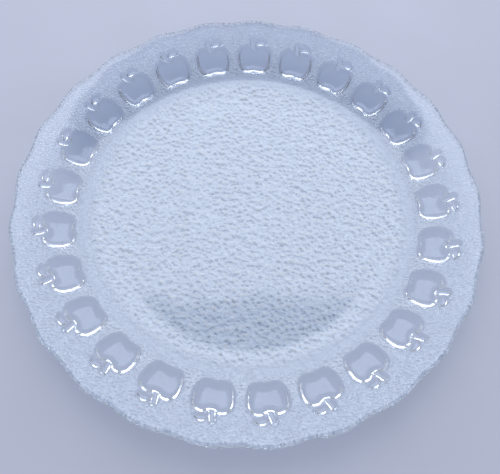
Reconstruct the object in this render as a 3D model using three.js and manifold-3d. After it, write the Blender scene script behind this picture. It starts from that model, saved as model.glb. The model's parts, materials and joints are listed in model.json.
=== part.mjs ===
// A round dish plate of pressed clear glass, in millimetres, +Z up, standing on z = 0 about the Z axis.
// The whole plate is one body: a flat well, a curve that sweeps up to a sloping rim, and a wavy round edge.
// Its top is smooth. A ring of fruits, each with a stem and a leaf, stands out in relief under the rim,
// one fruit inside each crest of the edge, and is seen through the glass.

import * as THREE from 'three';
import { mergeVertices } from 'three/addons/utils/BufferGeometryUtils.js';
import Module from 'manifold-3d';

// Section of the plate
const glassThickness = 3.8;
const wellRadius = 84; // flat middle of the dish
const sweepRadius = 70; // curve of the top between the well and the rim
const rimSlope = THREE.MathUtils.degToRad(21.5);
const rimWidth = 31.9; // straight slope, from the end of the curve to the mean line of the edge
const waveHeight = 0.8; // how far the edge swings in and out of its mean line

// Ring of fruits
const fruitCount = 25;
const fruitOffset = 5.6; // from the end of the curve, up the slope, to a fruit's origin

// One fruit: x runs along the ring and y up the slope, seen from underneath
const fruitWidth = 23.4;
const fruitHeight = 1.9; // how far it stands out of the glass
const fruitWall = 2.05; // width of the sloping wall round it
const cheekHeight = 1.9; // widest place
const crownHeight = 8.9; // tops of the two upper lobes
const crownSpacing = 10.2; // between the two upper lobes
const crownDip = 1.7; // dip between them, where the stem starts
const heelDepth = 10.3; // ends of the two lower lobes
const heelSpacing = 10;
const heelDip = 0.7;
const fullness = 0.61; // roundness of the cheeks

// Its stem and leaf
const sprigHeight = 1.1;
const sprigWall = 1.1;
const stemWidth = 3.9;
const stemLength = 8.8; // from inside the fruit's wall to its tip
const stemLean = THREE.MathUtils.degToRad(15);
const leafLength = 9;
const leafBack = 3.2; // bulge of its outer side
const leafBelly = 1.2; // bulge of the side that lies along the fruit
const leafLift = 0.9; // its axis above the upper lobes
const leafTilt = THREE.MathUtils.degToRad(8);

// Fineness of the facets
const sidesPerFruit = 4;
const sweepSteps = 4;
const edgeSteps = 4;
const outlineSteps = 3;

// Height of a cubic arch's control points, over the height of the arch
const archReach = 4 / 3;

const wasm = await Module();
wasm.setup();

// Point of the rim's section: so far up the slope from the end of the curve, and so far below the top
function rimPoint(along, below) {
  const radius = sweepRadius + below;
  return new THREE.Vector2(
    wellRadius + radius * Math.sin(rimSlope) + along * Math.cos(rimSlope),
    glassThickness + sweepRadius - radius * Math.cos(rimSlope) + along * Math.sin(rimSlope),
  );
}

// Where a fruit's origin sits on the underside
const seat = rimPoint(fruitOffset, glassThickness);

// Half section of the plate: out along the underside, round the edge and back along the top
function plateSection() {
  const sweepCentre = glassThickness + sweepRadius;
  const outside = sweepRadius + glassThickness;
  const down = -Math.PI / 2;
  const flank = rimSlope + down;
  const edgeRadius = glassThickness / 2;
  const edge = rimPoint(rimWidth - edgeRadius, edgeRadius);
  const under = new THREE.EllipseCurve(wellRadius, sweepCentre, outside, outside, down, flank);
  const nose = new THREE.EllipseCurve(edge.x, edge.y, edgeRadius, edgeRadius, flank, rimSlope - down);
  const top = new THREE.EllipseCurve(wellRadius, sweepCentre, sweepRadius, sweepRadius, flank, down, true);
  return [
    new THREE.Vector2(0, 0),
    ...under.getPoints(sweepSteps),
    ...nose.getPoints(edgeSteps),
    ...top.getPoints(sweepSteps),
    new THREE.Vector2(0, glassThickness),
  ];
}

// Slides each point of the rim along its slope, more and more towards the edge, with a crest at every fruit
function waveEdge(geometry) {
  const position = geometry.getAttribute('position');
  const point = new THREE.Vector3();
  const slide = new THREE.Vector3();
  const calm = rimPoint(0, glassThickness).x;
  const edge = rimPoint(rimWidth, glassThickness / 2).x;
  for (let i = 0; i < position.count; i++) {
    point.fromBufferAttribute(position, i);
    const turn = Math.atan2(point.x, -point.y);
    const share = Math.max(0, Math.hypot(point.x, point.y) - calm) / (edge - calm);
    slide.set(Math.sin(turn), -Math.cos(turn), Math.tan(rimSlope));
    slide.setLength(waveHeight * share * Math.cos(fruitCount * turn));
    point.add(slide);
    position.setXYZ(i, point.x, point.y, point.z);
  }
  return geometry;
}

function plateGeometry() {
  const sides = fruitCount * sidesPerFruit;
  return waveEdge(new THREE.LatheGeometry(plateSection(), sides).rotateX(Math.PI / 2));
}

// Right half of the fruit, from the dip at the stem to the dip at the bottom, and its mirror image
function fruitShape() {
  const half = fruitWidth / 2;
  const crown = crownSpacing / 2;
  const heel = heelSpacing / 2;
  const dip = crownHeight - crownDip;
  const foot = heelDip - heelDepth;
  const right = new THREE.Path();
  right.moveTo(0, dip);
  right.bezierCurveTo(crown / 2, dip, crown / 2, crownHeight, crown, crownHeight);
  right.bezierCurveTo(
    THREE.MathUtils.lerp(crown, half, fullness), crownHeight,
    half, THREE.MathUtils.lerp(cheekHeight, crownHeight, fullness),
    half, cheekHeight,
  );
  right.bezierCurveTo(
    half, THREE.MathUtils.lerp(cheekHeight, -heelDepth, fullness),
    THREE.MathUtils.lerp(heel, half, fullness), -heelDepth,
    heel, -heelDepth,
  );
  right.bezierCurveTo(heel / 2, -heelDepth, heel / 2, foot, 0, foot);
  const points = right.getPoints(outlineSteps);
  const mirrored = points.slice(1, -1).reverse().map((point) => new THREE.Vector2(-point.x, point.y));
  return new THREE.Shape([...points, ...mirrored]);
}

// Upright bar with a round end
function stemShape() {
  const half = stemWidth / 2;
  const shoulder = stemLength - half;
  const arch = shoulder + half * archReach;
  const shape = new THREE.Shape();
  shape.moveTo(-half, 0);
  shape.lineTo(half, 0);
  shape.lineTo(half, shoulder);
  shape.bezierCurveTo(half, arch, -half, arch, -half, shoulder);
  return shape;
}

// Almond that lies to the left of its root
function leafShape() {
  const back = leafBack * archReach;
  const belly = leafBelly * archReach;
  const shape = new THREE.Shape();
  shape.moveTo(0, 0);
  shape.bezierCurveTo(-leafLength / 4, back, -leafLength * 3 / 4, back, -leafLength, 0);
  shape.bezierCurveTo(-leafLength * 3 / 4, -belly, -leafLength / 4, -belly, 0, 0);
  return shape;
}

// A shape in relief on z = 0, with a sloping wall round it and its root inside the glass.
// The wall starts as deep as the round glass falls away from a flat fruit at its cheeks.
function relief(shape, height, wall) {
  const sag = (fruitWidth / 2) ** 2 * Math.sin(rimSlope) / (2 * seat.x);
  const root = (glassThickness - height) / 2 - sag;
  const geometry = new THREE.ExtrudeGeometry(shape, {
    depth: root,
    bevelThickness: height + sag,
    bevelSize: wall,
    bevelOffset: -wall,
    bevelSegments: 1,
    curveSegments: outlineSteps,
  });
  return geometry.translate(0, 0, -root - sag);
}

// Body, stem and leaf of one fruit, about its origin
function fruitGeometries() {
  const stemRoot = crownHeight - crownDip - fruitWall;
  const body = relief(fruitShape(), fruitHeight, fruitWall);
  const stem = relief(stemShape(), sprigHeight, sprigWall);
  stem.rotateZ(-stemLean).translate(0, stemRoot, 0);
  const leaf = relief(leafShape(), sprigHeight, sprigWall);
  leaf.rotateZ(-leafTilt).translate(0, crownHeight + leafLift, 0);
  return [body, stem, leaf];
}

// Closed solid of a geometry: shared vertices merged, and faces that shrank to a line left out
function solid(geometry) {
  geometry.deleteAttribute('normal');
  geometry.deleteAttribute('uv');
  const merged = mergeVertices(geometry);
  const corners = merged.index.array;
  const faces = [];
  for (let i = 0; i < corners.length; i += 3) {
    const face = corners.slice(i, i + 3);
    if (new Set(face).size === 3) {
      faces.push(...face);
    }
  }
  const mesh = new wasm.Mesh({
    numProp: 3,
    vertProperties: new Float32Array(merged.getAttribute('position').array),
    triVerts: new Uint32Array(faces),
  });
  return new wasm.Manifold(mesh);
}

// The plate with a fruit under each crest of its edge
function glassBody() {
  let body = solid(plateGeometry());
  for (let i = 0; i < fruitCount; i++) {
    for (const piece of fruitGeometries()) {
      piece.rotateX(Math.PI - rimSlope).translate(0, -seat.x, seat.y);
      piece.rotateZ(2 * Math.PI * i / fruitCount);
      body = body.add(solid(piece));
    }
  }
  const mesh = body.getMesh();
  const geometry = new THREE.BufferGeometry();
  geometry.setAttribute('position', new THREE.BufferAttribute(mesh.vertProperties, mesh.numProp));
  geometry.setIndex(new THREE.BufferAttribute(mesh.triVerts, 1));
  geometry.computeVertexNormals();
  return geometry;
}

const clearGlass = new THREE.MeshStandardMaterial({
  color: 0xe3ebf0,
  roughness: 0.05,
  metalness: 0,
  transparent: true,
  opacity: 0.35,
});

const plate = new THREE.Mesh(glassBody(), clearGlass);
plate.name = 'plate';

const object = new THREE.Group();
object.add(plate);

export default object;
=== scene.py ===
import json
import math

import bpy
import numpy as np
from mathutils import Matrix, Vector
from mathutils.geometry import delaunay_2d_cdt


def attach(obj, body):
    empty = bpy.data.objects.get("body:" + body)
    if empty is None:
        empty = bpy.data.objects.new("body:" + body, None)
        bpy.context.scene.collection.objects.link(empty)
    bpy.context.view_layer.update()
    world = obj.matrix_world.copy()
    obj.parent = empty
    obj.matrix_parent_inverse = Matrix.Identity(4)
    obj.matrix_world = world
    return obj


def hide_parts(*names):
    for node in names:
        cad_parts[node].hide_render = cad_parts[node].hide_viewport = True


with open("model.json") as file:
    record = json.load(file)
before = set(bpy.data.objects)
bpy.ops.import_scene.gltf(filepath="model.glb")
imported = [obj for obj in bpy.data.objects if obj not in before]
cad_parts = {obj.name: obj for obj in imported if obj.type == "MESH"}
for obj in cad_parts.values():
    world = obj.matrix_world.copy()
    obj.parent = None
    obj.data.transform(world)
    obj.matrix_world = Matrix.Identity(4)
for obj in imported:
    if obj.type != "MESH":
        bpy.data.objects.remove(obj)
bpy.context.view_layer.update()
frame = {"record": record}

# Dish
# The plate is one pressing of clear soda-lime glass: a flat well, a curve that sweeps up to a sloping rim
# and a round edge. The plunger leaves its top smooth, and the edge waves out at each fruit of the border.
mm = 0.001
well_face = next(mount for mount in frame["record"]["mounts"] if mount["name"] == "well")
glass_thickness = well_face["pos_m"][2]
well_radius = 84 * mm
sweep_radius = 70 * mm
rim_slope = math.radians(21.5)
rim_width = 31.9 * mm
edge_radius = glass_thickness / 2
wave_height = 0.8 * mm
fruit_count = 25
half_sector = math.pi / fruit_count


def rim_point(along, below):
    """Radius and height so far up the slope from the end of the curve, and so far below the top."""
    radius = sweep_radius + below
    return (
        well_radius + radius * math.sin(rim_slope) + along * math.cos(rim_slope),
        glass_thickness + sweep_radius - radius * math.cos(rim_slope) + along * math.sin(rim_slope),
    )


def waved(points):
    """The points, slid along the slope so that the edge swings out in front of each fruit."""
    calm = rim_point(0, glass_thickness)[0]
    edge = rim_point(rim_width, edge_radius)[0]
    turn = np.arctan2(points[:, 0], -points[:, 1])
    share = np.maximum(np.hypot(points[:, 0], points[:, 1]) - calm, 0) / (edge - calm)
    slide = wave_height * share * np.cos(fruit_count * turn)
    out = math.cos(rim_slope) * slide
    return points + np.column_stack([out * np.sin(turn), -out * np.cos(turn), math.sin(rim_slope) * slide])


edge_columns = 30
edge_rows = 8
rim_rows = 3
sweep_rows = 7
edge_middle = rim_point(rim_width - edge_radius, edge_radius)
section = []
for step in range(edge_rows + 1):
    angle = rim_slope + math.pi * (step / edge_rows - 0.5)
    section.append((
        edge_middle[0] + edge_radius * math.cos(angle),
        edge_middle[1] + edge_radius * math.sin(angle),
    ))
for step in range(1, rim_rows + 1):
    section.append(rim_point((rim_width - edge_radius) * (1 - step / rim_rows), 0))
for step in range(1, sweep_rows + 1):
    angle = rim_slope * (1 - step / sweep_rows)
    section.append((
        well_radius + sweep_radius * math.sin(angle),
        glass_thickness + sweep_radius * (1 - math.cos(angle)),
    ))
turns = np.linspace(-half_sector, half_sector, edge_columns + 1)
top_points = [(0, 0, glass_thickness)]
for radius, height in section:
    for turn in turns:
        top_points.append((radius * math.sin(turn), -radius * math.cos(turn), height))
top_points = np.array(top_points)
top_faces = []
for row in range(len(section) - 1):
    for column in range(edge_columns):
        near = 1 + row * len(turns) + column
        far = near + len(turns)
        top_faces.append((near, near + 1, far + 1, far))
last = 1 + (len(section) - 1) * len(turns)
for column in range(edge_columns):
    top_faces.append((last + column, last + column + 1, 0))

# Fruit
# A flat cushion of the same glass that the mould leaves standing on the underside of the rim, seen through
# the smooth top. A sloping wall follows its outline, then a gently rising shoulder, and then a level middle
# that repeats the outline.
fruit_offset = 5.6 * mm
fruit_width = 23.4 * mm
fruit_height = 1.9 * mm
fruit_wall = 2.05 * mm
wall_bow = 0.15  # share of an S-shaped bend in the wall
shoulder_width = 3.1 * mm
shoulder_rise = 0.7 * mm
cheek_height = 1.9 * mm
crown_height = 8.9 * mm
crown_spacing = 10.2 * mm
crown_dip = 1.7 * mm
heel_depth = 10.3 * mm
heel_spacing = 10 * mm
heel_dip = 0.7 * mm
fullness = 0.61  # roundness of the cheeks
crease = 0.22 * mm  # half the width of the soft fold along the wall
shoulder_crease = 1.5 * crease
outline_step = 0.55 * mm
ring_step = 0.8 * mm
ring_slack = 0.02 * mm
seat_radius = rim_point(fruit_offset, glass_thickness)[0]


def curve_points(start, lead, trail, end, steps=40):
    """Points of a cubic curve, without its last one."""
    t = np.linspace(0, 1, steps, endpoint=False)[:, None]
    start, lead, trail, end = np.array([start, lead, trail, end])
    return (1 - t) ** 3 * start + 3 * t * (1 - t) ** 2 * lead + 3 * t ** 2 * (1 - t) * trail + t ** 3 * end


def even_ring(outline, spacing, fewest=8):
    """The closed outline with its points an even step apart."""
    loop = np.vstack([outline, outline[:1]])
    run = np.concatenate([[0], np.cumsum(np.hypot(*np.diff(loop, axis=0).T))])
    at = np.linspace(0, run[-1], max(fewest, round(run[-1] / spacing)), endpoint=False)
    return np.column_stack([np.interp(at, run, loop[:, 0]), np.interp(at, run, loop[:, 1])])


def depth_inside(points, outline):
    """How far each point is inside the outline, below zero outside it."""
    ahead = np.roll(outline, -1, axis=0)
    edge = ahead - outline
    gap = points[:, None] - outline
    share = np.clip((gap * edge).sum(-1) / (edge ** 2).sum(-1), 0, 1)
    distance = np.linalg.norm(gap - share[..., None] * edge, axis=-1).min(1)
    spans = (outline[:, 1] > points[:, 1:]) != (ahead[:, 1] > points[:, 1:])
    rise = np.where(edge[:, 1] == 0, 1, edge[:, 1])
    left = gap[:, :, 0] < gap[:, :, 1] / rise * edge[:, 0]
    inside = (spans & left).sum(1) % 2 == 1
    return np.where(inside, distance, -distance)


def inset_ring(outline, depth, spacing):
    """The line that runs so deep inside the outline, or outside it for a depth below zero."""
    along = np.roll(outline, -1, axis=0) - np.roll(outline, 1, axis=0)
    along /= np.linalg.norm(along, axis=1, keepdims=True)
    ahead = np.roll(outline, -1, axis=0)
    area = (outline[:, 0] * ahead[:, 1] - outline[:, 1] * ahead[:, 0]).sum()
    inward = math.copysign(1, area) * np.column_stack([-along[:, 1], along[:, 0]])
    moved = outline + depth * inward
    kept = moved[np.abs(depth_inside(moved, outline) - depth) < ring_slack]
    return kept if len(kept) == len(outline) else even_ring(kept, spacing)


crown = (crown_spacing / 2, crown_height)
cheek = (fruit_width / 2, cheek_height)
heel = (heel_spacing / 2, -heel_depth)
dip = (0, crown_height - crown_dip)
foot = (0, heel_dip - heel_depth)
upper_lead = (crown[0] + fullness * (cheek[0] - crown[0]), crown[1])
upper_trail = (cheek[0], cheek[1] + fullness * (crown[1] - cheek[1]))
lower_lead = (cheek[0], cheek[1] + fullness * (heel[1] - cheek[1]))
lower_trail = (heel[0] + fullness * (cheek[0] - heel[0]), heel[1])
right_half = np.vstack([
    curve_points(dip, (crown[0] / 2, dip[1]), (crown[0] / 2, crown[1]), crown),
    curve_points(crown, upper_lead, upper_trail, cheek),
    curve_points(cheek, lower_lead, lower_trail, heel),
    curve_points(heel, (heel[0] / 2, heel[1]), (heel[0] / 2, foot[1]), foot),
    [foot],
])
fruit_outline = even_ring(np.vstack([right_half, right_half[-2:0:-1] * (-1, 1)]), outline_step)
fruit_rings = [
    inset_ring(fruit_outline, depth, ring_step)
    for depth in (
        -crease,
        crease,
        fruit_wall / 2,
        fruit_wall - crease,
        fruit_wall + crease,
        fruit_wall + shoulder_width / 2,
        fruit_wall + shoulder_width - shoulder_crease,
        fruit_wall + shoulder_width + shoulder_crease,
    )
]


def fruit_relief(points):
    """Height of the fruit over the glass round it."""
    depth = depth_inside(points, fruit_outline)
    wall = np.clip(depth / fruit_wall, 0, 1)
    wall += wall_bow * (wall * wall * (3 - 2 * wall) - wall)
    shoulder = np.clip((depth - fruit_wall) / shoulder_width, 0, 1)
    return fruit_height * wall + shoulder_rise * shoulder


# Stem and leaf
# A short stem leans out of the dip of each fruit towards the edge, and one almond leaf lies beside it.
# They are pressed in the same glass, lower than the fruit, with a rounded wall that ends in a flat top.
sprig_height = 1.1 * mm
sprig_wall = 1.4 * mm
sprig_wall_shares = (0.4, 0.7, 1)  # lines along the wall that round it
sprig_crease = 0.14 * mm
sprig_step = 0.45 * mm
sprig_ring_step = 0.6 * mm
stem_width = 3.9 * mm
stem_length = 8.8 * mm
stem_lean = math.radians(15)
leaf_length = 9 * mm
leaf_back = 3.2 * mm
leaf_belly = 1.2 * mm
leaf_lift = 0.9 * mm
leaf_tilt = math.radians(8)
arch_reach = 4 / 3  # height of a cubic arch's control points, over the height of the arch


def turned(points, angle, root):
    """The points turned clockwise about the origin, and moved to the root."""
    turn = np.array([[math.cos(angle), -math.sin(angle)], [math.sin(angle), math.cos(angle)]])
    return points @ turn + root


stem_half = stem_width / 2
stem_shoulder = stem_length - stem_half
stem_arch = stem_shoulder + stem_half * arch_reach
stem_outline = np.vstack([
    [(-stem_half, 0), (stem_half, 0)],
    curve_points((stem_half, stem_shoulder), (stem_half, stem_arch), (-stem_half, stem_arch),
                 (-stem_half, stem_shoulder)),
    [(-stem_half, stem_shoulder)],
])
stem_outline = turned(even_ring(stem_outline, sprig_step), stem_lean, (0, dip[1] - fruit_wall))
back = leaf_back * arch_reach
belly = leaf_belly * arch_reach
leaf_outline = np.vstack([
    curve_points((0, 0), (-leaf_length / 4, back), (-leaf_length * 3 / 4, back), (-leaf_length, 0)),
    curve_points((-leaf_length, 0), (-leaf_length * 3 / 4, -belly), (-leaf_length / 4, -belly), (0, 0)),
])
leaf_outline = turned(even_ring(leaf_outline, sprig_step), leaf_tilt, (0, crown[1] + leaf_lift))
sprig_rings = [
    inset_ring(outline, depth, sprig_ring_step)
    for outline in (stem_outline, leaf_outline)
    for depth in (-sprig_crease, sprig_crease, *(share * sprig_wall for share in sprig_wall_shares))
]


def sprig_relief(points):
    """Height of the stem and the leaf over the glass round them."""
    depth = np.maximum(depth_inside(points, stem_outline), depth_inside(points, leaf_outline))
    return sprig_height * np.sin(np.clip(depth / sprig_wall, 0, 1) * math.pi / 2)


# Underside
# The mould side of the pressing. Its pebbled grain is coarse under the well and fades into a finer one under
# the rim, which is strongest between the inner ends of the fruits and runs on round the edge. It stops at
# the fruits, stems and leaves, which are smooth.
under_spacing = 1.04 * mm
grid_gap = 0.6 * under_spacing
border_gap = 0.5 * under_spacing
weld = 0.001 * mm
coarse_pebble = 2.9 * mm
coarse_depth = 0.45 * mm
fine_pebble = 1.5 * mm
fine_depth = 0.15 * mm
wrinkle = 2.2 * mm
grain_seed = (0.31, 0.17, 0.53)
coarse_end = (92 * mm, 106 * mm)  # radii between which the coarse grain fades out
fine_radii = (99 * mm, 107 * mm, 112 * mm, 119 * mm, 134 * mm)
fine_levels = (0, 1.5, 1.5, 1, 0.85)  # strength of the fine grain at these radii
nose_level = 1.3  # strength of the fine grain on the round edge
nose_row = 3  # row of the edge from which it fades out
grain_margin = 1.3 * mm
under_edge = section[0][0]


def fade(value, start, end):
    """0 before start, 1 after end, and a soft step between."""
    t = np.clip((value - start) / (end - start), 0, 1)
    return t * t * (3 - 2 * t)


def fruit_plan(points):
    """Points of the wedge seen on the slope, about the fruit's origin."""
    return np.column_stack([points[:, 0], (points[:, 1] - seat_radius) / math.cos(rim_slope)])


wedge_points = []
wedge_edges = []
for ring in fruit_rings + sprig_rings:
    first = len(wedge_points)
    wedge_points.extend(np.column_stack([ring[:, 0], seat_radius + ring[:, 1] * math.cos(rim_slope)]))
    wedge_edges.extend((first + i, first + (i + 1) % len(ring)) for i in range(len(ring)))
side_steps = np.linspace(0, under_edge, round(under_edge / under_spacing) + 1)
for side in (-1, 1):
    first = len(wedge_points)
    turn = side * half_sector
    wedge_points.extend((r * math.sin(turn), r * math.cos(turn)) for r in side_steps)
    wedge_edges.extend((first + i, first + i + 1) for i in range(len(side_steps) - 1))
first = len(wedge_points)
wedge_points.extend((under_edge * math.sin(turn), under_edge * math.cos(turn)) for turn in turns)
wedge_edges.extend((first + i, first + i + 1) for i in range(edge_columns))
fixed = np.array(wedge_points)
row_height = under_spacing * math.sqrt(3) / 2
grid = []
for row in range(int(under_edge / row_height)):
    v = (row + 0.5) * row_height
    reach = int(v * math.tan(half_sector) / under_spacing) + 1
    grid.extend(((column + row % 2 / 2) * under_spacing, v) for column in range(-reach, reach + 1))
grid = np.array(grid)
reach = np.hypot(grid[:, 0], grid[:, 1])
side_gap = reach * np.sin(half_sector - np.abs(np.arctan2(grid[:, 0], grid[:, 1])))
free = np.linalg.norm(grid[:, None] - fixed, axis=-1).min(1) > grid_gap
free &= (side_gap > border_gap) & (reach < under_edge - border_gap)
free &= depth_inside(fruit_plan(grid), fruit_outline) < crease
wedge_points.extend(grid[free])
spots, _, under_faces, _, _, _ = delaunay_2d_cdt(
    [Vector(point) for point in wedge_points], wedge_edges, [], 0, weld
)
spots = np.array(spots)
for side in (-1, 1):
    off_side = np.abs(spots[:, 0] * math.cos(half_sector) - side * spots[:, 1] * math.sin(half_sector))
    under_faces = [face for face in under_faces if off_side[face].max() > weld]
radius = np.hypot(spots[:, 0], spots[:, 1])
turn = np.arctan2(spots[:, 0], spots[:, 1])
outside = sweep_radius + glass_thickness
slope = np.arcsin(np.clip((radius - well_radius) / outside, 0, math.sin(rim_slope)))
straight = np.maximum(radius - well_radius - outside * math.sin(rim_slope), 0)
height = outside * (1 - np.cos(slope)) + straight * math.tan(rim_slope)
plan = fruit_plan(spots)
relief = np.maximum(fruit_relief(plan), sprig_relief(plan))
radius_out = radius + relief * np.sin(slope)
under_points = np.column_stack([
    radius_out * np.sin(turn),
    -radius_out * np.cos(turn),
    height - relief * np.cos(slope),
])
smooth = np.maximum.reduce([
    depth_inside(plan, outline) for outline in (fruit_outline, stem_outline, leaf_outline)
])
coarse_share = 1 - fade(radius, *coarse_end)
fine_share = np.interp(radius, fine_radii, fine_levels) * fade(-smooth, 0, grain_margin)
nose_fade = fade(np.arange(len(section)), nose_row, edge_rows)
nose_share = np.repeat(nose_level - nose_level * nose_fade, len(turns))

wedge = bpy.data.meshes.new("plate_wedge")
faces = list(under_faces) + [tuple(len(spots) + i for i in face) for face in top_faces]
wedge.from_pydata(waved(np.vstack([under_points, top_points])).tolist(), [], faces)
for name, under_share, top_share in (
    ("coarse_grain", coarse_share, 0 * nose_share),
    ("fine_grain", fine_share, nose_share),
):
    values = np.concatenate([under_share, [0], top_share])
    wedge.attributes.new(name, "FLOAT", "POINT").data.foreach_set("value", values)

# Glass
# Clear soda-lime glass with a cool cast, shiny and a little wavy on top, with faint smears from wiping.
# The grain is satin from the mould and glows pale in the light. Its colour holds painted shade on the side
# of each pebble away from the panel, and a painted highlight on the side towards it.
# The mould's grit is too fine to draw, so its satin is a share of the surface that scatters the light.
coarse_satin = 0.7
fine_satin = 0.33
fine_height = 0.45
wrinkle_height = 0.9
# Spacing of the two samples of the painted relief shade on the grain, and the slope that gives its full tone
shading_step = 0.6 * mm
shading_reach = 0.25
# The pebbles' painted shade, the grain's plain tone and the pebbles' painted highlight
painted_shade_colour = "#9ba4b2"
grain_colour = "#e7f0fc"
painted_highlight_colour = "#ffffff"
passed_colour = "#e3e6ea"
ripple_size = 22 * mm
ripple_height = 0.12
smear_size = 14 * mm
smear_span = (0.3, 0.7)
clean_roughness = 0.01
smeared_roughness = 0.05
bump_depth = 0.9 * mm


def linear(code):
    """An sRGB hex colour as linear RGBA."""
    parts = [int(code[i:i + 2], 16) / 255 for i in (1, 3, 5)]
    return (*(c / 12.92 if c <= 0.04045 else ((c + 0.055) / 1.055) ** 2.4 for c in parts), 1)


def add_node(tree, kind, inputs=(), **settings):
    """A node with its settings, and with values or links on its inputs."""
    node = tree.nodes.new(kind)
    for name, value in settings.items():
        setattr(node, name, value)
    for name, value in dict(inputs).items():
        if isinstance(value, bpy.types.NodeSocket):
            tree.links.new(value, node.inputs[name])
        else:
            node.inputs[name].default_value = value
    return node


glass = bpy.data.materials.new("pressed_soda_lime_glass")
glass.use_nodes = True
tree = glass.node_tree
tree.nodes.clear()
place = add_node(tree, "ShaderNodeTexCoord").outputs["Object"]
place = add_node(tree, "ShaderNodeVectorMath", {0: place, 1: grain_seed}, operation="ADD").outputs[0]
coarse = add_node(tree, "ShaderNodeAttribute", attribute_name="coarse_grain").outputs["Fac"]
fine = add_node(tree, "ShaderNodeAttribute", attribute_name="fine_grain").outputs["Fac"]
low = add_node(tree, "ShaderNodeMath", {0: fine, 1: fine_height}, operation="MULTIPLY").outputs[0]
beside = (0, -shading_step, 0)
lee = add_node(tree, "ShaderNodeVectorMath", {0: place, 1: beside}, operation="ADD").outputs[0]
grains = []
for spot in (place, lee):
    cobbles = add_node(tree, "ShaderNodeTexVoronoi", {"Vector": spot, "Scale": 1 / coarse_pebble})
    pebbles = add_node(tree, "ShaderNodeTexVoronoi", {"Vector": spot, "Scale": 1 / fine_pebble})
    wrinkles = add_node(tree, "ShaderNodeTexNoise", {"Vector": spot, "Scale": 1 / wrinkle, "Detail": 2.0})
    hollows = add_node(
        tree, "ShaderNodeMath",
        {0: wrinkles.outputs["Fac"], 1: wrinkle_height, 2: cobbles.outputs["Distance"]},
        operation="MULTIPLY_ADD",
    )
    hollows = add_node(tree, "ShaderNodeMath", {0: hollows.outputs[0], 1: coarse}, operation="MULTIPLY")
    grains.append(add_node(
        tree, "ShaderNodeMath", {0: pebbles.outputs["Distance"], 1: low, 2: hollows.outputs[0]},
        operation="MULTIPLY_ADD",
    ).outputs[0])
ripples = add_node(tree, "ShaderNodeTexNoise", {"Vector": place, "Scale": 1 / ripple_size, "Detail": 1.0})
swell = add_node(
    tree, "ShaderNodeMath",
    {0: ripples.outputs["Fac"], 1: ripple_height, 2: grains[0]},
    operation="MULTIPLY_ADD",
)
grain_bump = add_node(
    tree, "ShaderNodeBump",
    {"Strength": 1.0, "Distance": bump_depth, "Height": swell.outputs[0]},
    invert=True,
)
smears = add_node(tree, "ShaderNodeTexNoise", {"Vector": place, "Scale": 1 / smear_size, "Detail": 3.0})
gloss = add_node(
    tree, "ShaderNodeMapRange",
    {
        "Value": smears.outputs["Fac"],
        "From Min": smear_span[0],
        "From Max": smear_span[1],
        "To Min": clean_roughness,
        "To Max": smeared_roughness,
    },
)
# Painted shade and painted highlight in the base colour, set by which way the grain slopes towards the panel
tilt = add_node(tree, "ShaderNodeMath", {0: grains[1], 1: grains[0]}, operation="SUBTRACT")
painted_relief_shade = add_node(
    tree, "ShaderNodeMapRange",
    {"Value": tilt.outputs[0], "From Min": -shading_reach, "From Max": shading_reach},
)
painted_relief_shade = add_node(tree, "ShaderNodeValToRGB", {"Fac": painted_relief_shade.outputs[0]})
painted_relief_shade.color_ramp.elements[0].color = linear(painted_shade_colour)
painted_relief_shade.color_ramp.elements[1].color = linear(painted_highlight_colour)
painted_relief_shade.color_ramp.elements.new(0.5).color = linear(grain_colour)
satin = add_node(tree, "ShaderNodeMath", {0: fine, 1: fine_satin}, operation="MULTIPLY")
satin = add_node(
    tree, "ShaderNodeMath", {0: coarse, 1: coarse_satin, 2: satin.outputs[0]}, operation="MULTIPLY_ADD"
)
clear = add_node(tree, "ShaderNodeMath", {0: 1.0, 1: satin.outputs[0]}, operation="SUBTRACT")
shader = add_node(
    tree,
    "ShaderNodeBsdfPrincipled",
    {
        "Base Color": painted_relief_shade.outputs["Color"],
        "Roughness": gloss.outputs[0],
        "IOR": 1.52,
        "Transmission Weight": clear.outputs[0],
        "Normal": grain_bump.outputs["Normal"],
    },
)
# Light on its way to the floor goes straight through, a little dimmed, as it does through thin clear glass
passed = add_node(tree, "ShaderNodeBsdfTransparent", {"Color": linear(passed_colour)})
ray = add_node(tree, "ShaderNodeLightPath").outputs
passing = add_node(
    tree, "ShaderNodeMath", {0: ray["Is Shadow Ray"], 1: ray["Is Diffuse Ray"]}, operation="MAXIMUM"
)
lit = add_node(
    tree, "ShaderNodeMixShader",
    {0: passing.outputs[0], 1: shader.outputs["BSDF"], 2: passed.outputs["BSDF"]},
)
add_node(tree, "ShaderNodeOutputMaterial", {"Surface": lit.outputs["Shader"]})

# Pressing
# One fruit with its share of the dish repeats round the axis as it does in the mould, and the grain is
# then sunk into the joined underside, from its tops, which lie where the plate stands.
seam_gap = 0.01 * mm
dome_power = 2.0
dome_gain = 2.5  # the hollows between the pebbles reach their full depth before the next pebble
pressing = bpy.data.node_groups.new("plate_pressing", "GeometryNodeTree")
sizes = {}
pressing.interface.new_socket("Geometry", in_out="OUTPUT", socket_type="NodeSocketGeometry")
for name, kind in (
    ("Wedge", "NodeSocketGeometry"),
    ("Fruits", "NodeSocketInt"),
    ("Coarse pebble", "NodeSocketFloat"),
    ("Coarse depth", "NodeSocketFloat"),
    ("Fine pebble", "NodeSocketFloat"),
    ("Fine depth", "NodeSocketFloat"),
    ("Seed", "NodeSocketVector"),
    ("Glass", "NodeSocketMaterial"),
):
    sizes[name] = pressing.interface.new_socket(name, in_out="INPUT", socket_type=kind).identifier
given = add_node(pressing, "NodeGroupInput").outputs
step = add_node(pressing, "ShaderNodeMath", {0: 2 * math.pi, 1: given["Fruits"]}, operation="DIVIDE")
index = add_node(pressing, "GeometryNodeInputIndex").outputs[0]
angle = add_node(pressing, "ShaderNodeMath", {0: index, 1: step.outputs[0]}, operation="MULTIPLY")
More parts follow.
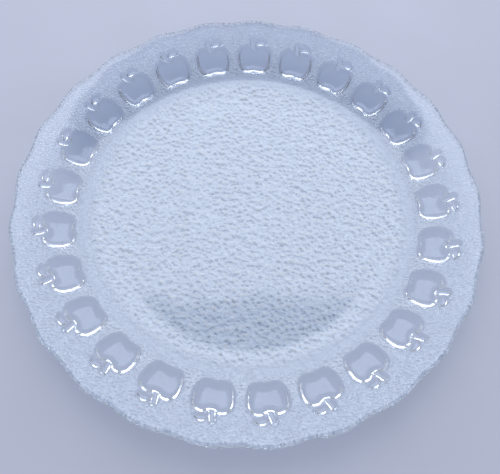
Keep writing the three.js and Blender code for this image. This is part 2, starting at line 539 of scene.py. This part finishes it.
rotation = add_node(pressing, "ShaderNodeCombineXYZ", {"Z": angle.outputs[0]})
seats = add_node(pressing, "GeometryNodePoints", {"Count": given["Fruits"]})
ring = add_node(
    pressing,
    "GeometryNodeInstanceOnPoints",
    {"Points": seats.outputs[0], "Instance": given["Wedge"], "Rotation": rotation.outputs[0]},
)
loose = add_node(pressing, "GeometryNodeRealizeInstances", {"Geometry": ring.outputs[0]})
joined = add_node(
    pressing, "GeometryNodeMergeByDistance", {"Geometry": loose.outputs[0], "Distance": seam_gap}
)
spot = add_node(pressing, "GeometryNodeInputPosition").outputs[0]
spot = add_node(pressing, "ShaderNodeVectorMath", {0: spot, 1: given["Seed"]}, operation="ADD").outputs[0]
sunk = []
for name, share in (("Coarse", "coarse_grain"), ("Fine", "fine_grain")):
    scale = add_node(pressing, "ShaderNodeMath", {0: 1.0, 1: given[name + " pebble"]}, operation="DIVIDE")
    cells = add_node(pressing, "ShaderNodeTexVoronoi", {"Vector": spot, "Scale": scale.outputs[0]})
    dome = add_node(
        pressing, "ShaderNodeMath", {0: cells.outputs["Distance"], 1: dome_power}, operation="POWER"
    )
    dome = add_node(
        pressing, "ShaderNodeMath", {0: dome.outputs[0], 1: dome_gain}, operation="MULTIPLY", use_clamp=True
    )
    depth = add_node(
        pressing, "ShaderNodeMath", {0: dome.outputs[0], 1: given[name + " depth"]}, operation="MULTIPLY"
    )
    shared = add_node(
        pressing, "GeometryNodeInputNamedAttribute", {"Name": share}, data_type="FLOAT"
    )
    sunk.append(add_node(
        pressing, "ShaderNodeMath", {0: depth.outputs[0], 1: shared.outputs[0]}, operation="MULTIPLY"
    ).outputs[0])
sink = add_node(pressing, "ShaderNodeMath", {0: sunk[0], 1: sunk[1]}, operation="ADD")
inward = add_node(pressing, "ShaderNodeMath", {0: sink.outputs[0], 1: -1.0}, operation="MULTIPLY")
normal = add_node(pressing, "GeometryNodeInputNormal").outputs[0]
offset = add_node(
    pressing, "ShaderNodeVectorMath", {0: normal, "Scale": inward.outputs[0]}, operation="SCALE"
)
grained = add_node(
    pressing, "GeometryNodeSetPosition", {"Geometry": joined.outputs[0], "Offset": offset.outputs[0]}
)
soft = add_node(pressing, "GeometryNodeSetShadeSmooth", {0: grained.outputs[0], "Shade Smooth": True})
done = add_node(
    pressing, "GeometryNodeSetMaterial", {"Geometry": soft.outputs[0], "Material": given["Glass"]}
)
add_node(pressing, "NodeGroupOutput", {"Geometry": done.outputs[0]})

mould = bpy.data.objects.new("plate_mould", wedge)
bpy.context.scene.collection.objects.link(mould)
press = mould.modifiers.new("pressing", "NODES")
press.node_group = pressing
press[sizes["Fruits"]] = fruit_count
press[sizes["Coarse pebble"]] = coarse_pebble
press[sizes["Coarse depth"]] = coarse_depth
press[sizes["Fine pebble"]] = fine_pebble
press[sizes["Fine depth"]] = fine_depth
press[sizes["Seed"]] = grain_seed
press[sizes["Glass"]] = glass
pressed = mould.evaluated_get(bpy.context.evaluated_depsgraph_get())
plate = bpy.data.objects.new("pressed_plate", bpy.data.meshes.new_from_object(pressed))
bpy.context.scene.collection.objects.link(plate)
bpy.data.objects.remove(mould)
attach(plate, "root")
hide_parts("plate")

# Floor
# A plain pale board that the plate stands on, with a matt painted face that gives no reflections. Its tone
# wanders a little, as rolled paint does, and it is wide enough to fill the view.
floor_size = 30.0
floor_gap = 0.1 * mm
paint_patch = 60 * mm
paint_colour = "#b5b9c9"
paint_light_colour = "#bbbfd0"
floor_mesh = bpy.data.meshes.new("floor")
corner = floor_size / 2
floor_mesh.from_pydata(
    [(-corner, -corner, -floor_gap), (corner, -corner, -floor_gap), (corner, corner, -floor_gap),
     (-corner, corner, -floor_gap)],
    [],
    [(0, 1, 2, 3)],
)
paint = bpy.data.materials.new("matt_pale_paint")
paint.use_nodes = True
tree = paint.node_tree
tree.nodes.clear()
place = add_node(tree, "ShaderNodeTexCoord").outputs["Object"]
cloud = add_node(tree, "ShaderNodeTexNoise", {"Vector": place, "Scale": 1 / paint_patch, "Detail": 3.0})
tone = add_node(tree, "ShaderNodeValToRGB", {"Fac": cloud.outputs["Fac"]})
tone.color_ramp.elements[0].color = linear(paint_colour)
tone.color_ramp.elements[1].color = linear(paint_light_colour)
shader = add_node(
    tree, "ShaderNodeBsdfPrincipled", {"Base Color": tone.outputs["Color"], "Roughness": 0.7}
)
add_node(tree, "ShaderNodeOutputMaterial", {"Surface": shader.outputs["BSDF"]})
floor_mesh.materials.append(paint)
floor = bpy.data.objects.new("floor", floor_mesh)
bpy.context.scene.collection.objects.link(floor)

# Light
# One tall soft panel stands behind the plate and fades out towards its top and sides. It shows in the
# polished top of the well. An even pale room lights the rest, and its backdrop has the floor's tone.
panel_aside = -0.15
panel_distance = 0.89
panel_low = panel_distance * math.tan(math.radians(20))
panel_high = panel_distance * math.tan(math.radians(75))
panel_width = 1.9
panel_turn = math.radians(9.7)
panel_top_fade = 0.2
panel_side_fade = 0.15
panel = bpy.data.lights.new("panel", "AREA")
panel.shape = "RECTANGLE"
panel.size = panel_width
panel.size_y = panel_high - panel_low
panel.energy = 55
panel.color = linear("#f4f8ff")[:3]
panel.use_nodes = True
tree = panel.node_tree
tree.nodes.clear()
across = add_node(tree, "ShaderNodeNewGeometry").outputs["Parametric"]
across = add_node(tree, "ShaderNodeSeparateXYZ", {"Vector": across}).outputs
glow = 1.0
for side, start, end in (
    ("Y", 0.0, panel_top_fade),
    ("X", 0.0, panel_side_fade),
    ("X", 1.0, 1.0 - panel_side_fade),
):
    soft = add_node(
        tree, "ShaderNodeMapRange",
        {"Value": across[side], "From Min": start, "From Max": end},
        interpolation_type="SMOOTHSTEP",
    )
    glow = add_node(tree, "ShaderNodeMath", {0: soft.outputs[0], 1: glow}, operation="MULTIPLY").outputs[0]
lamp = add_node(tree, "ShaderNodeEmission", {"Strength": glow})
add_node(tree, "ShaderNodeOutputLight", {"Surface": lamp.outputs[0]})
panel_lamp = bpy.data.objects.new("panel", panel)
panel_lamp.location = (panel_aside, panel_distance, (panel_low + panel_high) / 2)
panel_lamp.rotation_euler = (math.radians(-90), 0, panel_turn)
panel_lamp.visible_camera = False
bpy.context.scene.collection.objects.link(panel_lamp)
room = bpy.data.worlds.new("room")
room.use_nodes = True
tree = room.node_tree
tree.nodes.clear()
ray = add_node(tree, "ShaderNodeLightPath").outputs
seen = add_node(
    tree, "ShaderNodeMath", {0: ray["Is Camera Ray"], 1: ray["Is Glossy Ray"]}, operation="MAXIMUM"
)
seen = add_node(
    tree, "ShaderNodeMath", {0: seen.outputs[0], 1: ray["Is Transmission Ray"]}, operation="MAXIMUM"
)
even = add_node(tree, "ShaderNodeBackground", {"Color": linear("#e6eaf2"), "Strength": 0.55})
backdrop = add_node(tree, "ShaderNodeBackground", {"Color": linear(paint_colour), "Strength": 1.0})
wall = add_node(
    tree, "ShaderNodeMixShader",
    {0: seen.outputs[0], 1: even.outputs["Background"], 2: backdrop.outputs["Background"]},
)
add_node(tree, "ShaderNodeOutputWorld", {"Surface": wall.outputs["Shader"]})
bpy.context.scene.world = room

# Camera
# Stands over the near side of the plate and looks steeply down at its well, a little from the right.
# The lens is a normal one, and the frame is tilted by a few degrees.
azimuth = math.radians(6.34)
elevation = math.radians(66.66)
roll = math.radians(3.10)
distance = 314.9 * mm
target = Vector((4.33, -20.77, 8.4)) * mm
focal_pixels = 523
image_width = 500
behind = Vector((
    math.sin(azimuth) * math.cos(elevation),
    -math.cos(azimuth) * math.cos(elevation),
    math.sin(elevation),
))
level = Vector((math.cos(azimuth), math.sin(azimuth), 0))
upright = behind.cross(level)
right = math.cos(roll) * level + math.sin(roll) * upright
up = math.cos(roll) * upright - math.sin(roll) * level
lens = bpy.data.cameras.new("camera")
lens.sensor_width = 36
lens.lens = focal_pixels / image_width * lens.sensor_width
camera = bpy.data.objects.new("camera", lens)
camera.matrix_world = Matrix((
    (right.x, up.x, behind.x, target.x + distance * behind.x),
    (right.y, up.y, behind.y, target.y + distance * behind.y),
    (right.z, up.z, behind.z, target.z + distance * behind.z),
    (0, 0, 0, 1),
))
bpy.context.scene.collection.objects.link(camera)
bpy.context.scene.camera = camera
bpy.context.scene.view_settings.view_transform = "Standard"
